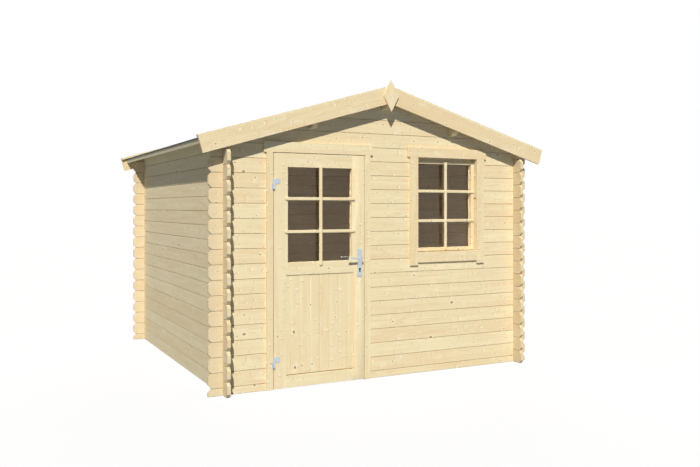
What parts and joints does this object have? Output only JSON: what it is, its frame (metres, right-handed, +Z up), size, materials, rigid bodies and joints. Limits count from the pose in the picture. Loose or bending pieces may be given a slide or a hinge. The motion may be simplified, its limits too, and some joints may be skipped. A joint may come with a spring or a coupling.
{
  "type": "wooden garden shed",
  "caption": "Log-built garden shed with interlocking corners, a shallow gabled roof on purlins, a part-glazed hinged door and a square window in the front gable wall.",
  "frame": {"origin": "ground level at the middle of the plan", "axes": "+X to the right along the front wall as seen from outside, +Y from the front wall to the back, +Z up"},
  "size_m": [3.2114, 3.022, 2.4437],
  "materials": {
    "pale_wood": "matte",
    "glass": "gloss",
    "roofing_felt": "matte",
    "zinc_plated_steel": "satin",
    "handle_metal": "satin"
  },
  "bodies": {
    "shed": {"back_wall_even_logs": "pale_wood", "back_wall_odd_logs": "pale_wood", "door_casings": "pale_wood", "door_frame_head": "pale_wood", "door_frame_posts": "pale_wood", "door_head_board": "pale_wood", "door_threshold": "pale_wood", "finials": "pale_wood", "front_gable_even_logs": "pale_wood", "front_gable_odd_logs": "pale_wood", "front_wall_left_even_logs": "pale_wood", "front_wall_left_odd_logs": "pale_wood", "front_wall_right_even_logs": "pale_wood", "front_wall_right_odd_logs": "pale_wood", "hinge_pins": "zinc_plated_steel", "left_bargeboards": "pale_wood", "left_eave_batten": "pale_wood", "left_roof_boards": "pale_wood", "left_roof_felt": "roofing_felt", "left_verge_laths": "pale_wood", "left_wall_even_logs": "pale_wood", "left_wall_odd_logs": "pale_wood", "ridge_purlin": "pale_wood", "right_bargeboards": "pale_wood", "right_eave_batten": "pale_wood", "right_roof_boards": "pale_wood", "right_roof_felt": "roofing_felt", "right_verge_laths": "pale_wood", "right_wall_even_logs": "pale_wood", "right_wall_odd_logs": "pale_wood", "side_purlins": "pale_wood", "window_casings": "pale_wood", "window_frame": "pale_wood", "window_glass": "glass", "window_head_board": "pale_wood", "window_sash": "pale_wood", "window_sill_board": "pale_wood"},
    "door": {"door_stiles": "pale_wood", "door_rails": "pale_wood", "door_panel": "pale_wood", "door_glass": "glass", "door_handle_plates": "handle_metal", "door_levers": "handle_metal", "hinge_straps": "zinc_plated_steel"}
  },
  "joints": [
    {"name": "door_hinge", "type": "hinge", "parent": "shed", "child": "door", "pos_m": [-0.9865, -1.4115, 0.9], "axis": [0, 0, 1], "range_deg": [-160, 0]}
  ]
}
